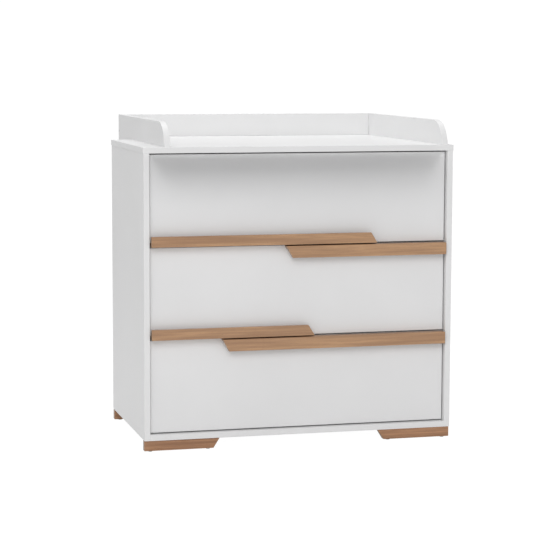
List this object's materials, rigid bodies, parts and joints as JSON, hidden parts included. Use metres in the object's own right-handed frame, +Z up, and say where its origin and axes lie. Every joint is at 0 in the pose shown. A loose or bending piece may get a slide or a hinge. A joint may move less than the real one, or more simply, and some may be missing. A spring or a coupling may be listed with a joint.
{
  "type": "changing table",
  "caption": "White nursery dresser with beech bar handles on full-extension drawers and an open-fronted changing tray that overhangs the back.",
  "frame": {"origin": "on the floor, under the middle of the whole object's bounding box", "axes": "+Z up; the drawers open towards -Y; +X to the right as seen from the front"},
  "size_m": [0.983, 0.797, 1],
  "materials": {
    "white_laminate": "fine matt melamine laminate on chipboard",
    "white_front": "fine matt laminate, drawer fronts",
    "white_hardboard": "white painted hardboard",
    "beech": "oiled beech, long grain",
    "dowel_wood": "plain beech dowel",
    "glide_plastic": "brown plastic glides",
    "zinc_screws": "zinc plated",
    "zinc_cams": "cast zinc",
    "rail_steel": "zinc plated sheet steel"
  },
  "bodies": {
    "cabinet": {"top_panel": "white_laminate", "left_side_panel": "white_laminate", "right_side_panel": "white_laminate", "bottom_panel": "white_laminate", "rear_stretcher": "white_laminate", "back_panel": "white_hardboard", "front_left_foot": "beech", "front_right_foot": "beech", "rear_left_foot": "beech", "rear_right_foot": "beech", "foot_glides": "glide_plastic", "foot_screws": "zinc_screws", "cam_fittings": "zinc_cams", "wood_dowels": "dowel_wood", "tray_left_wall": "white_laminate", "tray_right_wall": "white_laminate", "tray_back_wall": "white_laminate", "tray_rear_board": "white_laminate", "tray_screws": "zinc_screws", "tray_brackets": "rail_steel", "bottom_left_outer_rail": "rail_steel", "bottom_right_outer_rail": "rail_steel", "middle_left_outer_rail": "rail_steel", "middle_right_outer_rail": "rail_steel", "top_left_outer_rail": "rail_steel", "top_right_outer_rail": "rail_steel"},
    "bottom_drawer": {"bottom_drawer_front": "white_front", "bottom_drawer_left_side": "white_laminate", "bottom_drawer_right_side": "white_laminate", "bottom_drawer_back": "white_laminate", "bottom_drawer_bottom": "white_hardboard", "bottom_drawer_handle": "beech", "bottom_drawer_screws": "zinc_screws", "bottom_left_inner_rail": "rail_steel", "bottom_right_inner_rail": "rail_steel"},
    "bottom_middle_rails": {"bottom_left_middle_rail": "rail_steel", "bottom_right_middle_rail": "rail_steel"},
    "middle_drawer": {"middle_drawer_front": "white_front", "middle_drawer_left_side": "white_laminate", "middle_drawer_right_side": "white_laminate", "middle_drawer_back": "white_laminate", "middle_drawer_bottom": "white_hardboard", "middle_drawer_lower_handle": "beech", "middle_drawer_upper_handle": "beech", "middle_drawer_screws": "zinc_screws", "middle_left_inner_rail": "rail_steel", "middle_right_inner_rail": "rail_steel"},
    "middle_middle_rails": {"middle_left_middle_rail": "rail_steel", "middle_right_middle_rail": "rail_steel"},
    "top_drawer": {"top_drawer_front": "white_front", "top_drawer_left_side": "white_laminate", "top_drawer_right_side": "white_laminate", "top_drawer_back": "white_laminate", "top_drawer_bottom": "white_hardboard", "top_drawer_handle": "beech", "top_drawer_screws": "zinc_screws", "top_left_inner_rail": "rail_steel", "top_right_inner_rail": "rail_steel"},
    "top_middle_rails": {"top_left_middle_rail": "rail_steel", "top_right_middle_rail": "rail_steel"}
  },
  "joints": [
    {"name": "bottom_drawer_slide", "type": "slide", "parent": "cabinet", "child": "bottom_drawer", "axis": [0, -1, 0], "range_m": [0, 0.4]},
    {"name": "bottom_rails_slide", "type": "slide", "parent": "cabinet", "child": "bottom_middle_rails", "axis": [0, -1, 0], "range_m": [0, 0.2]},
    {"name": "middle_drawer_slide", "type": "slide", "parent": "cabinet", "child": "middle_drawer", "axis": [0, -1, 0], "range_m": [0, 0.4]},
    {"name": "middle_rails_slide", "type": "slide", "parent": "cabinet", "child": "middle_middle_rails", "axis": [0, -1, 0], "range_m": [0, 0.2]},
    {"name": "top_drawer_slide", "type": "slide", "parent": "cabinet", "child": "top_drawer", "axis": [0, -1, 0], "range_m": [0, 0.4]},
    {"name": "top_rails_slide", "type": "slide", "parent": "cabinet", "child": "top_middle_rails", "axis": [0, -1, 0], "range_m": [0, 0.2]}
  ],
  "couplings": [
    {"joint": "bottom_rails_slide", "follows": "bottom_drawer_slide", "ratio": 0.5},
    {"joint": "middle_rails_slide", "follows": "middle_drawer_slide", "ratio": 0.5},
    {"joint": "top_rails_slide", "follows": "top_drawer_slide", "ratio": 0.5}
  ]
}
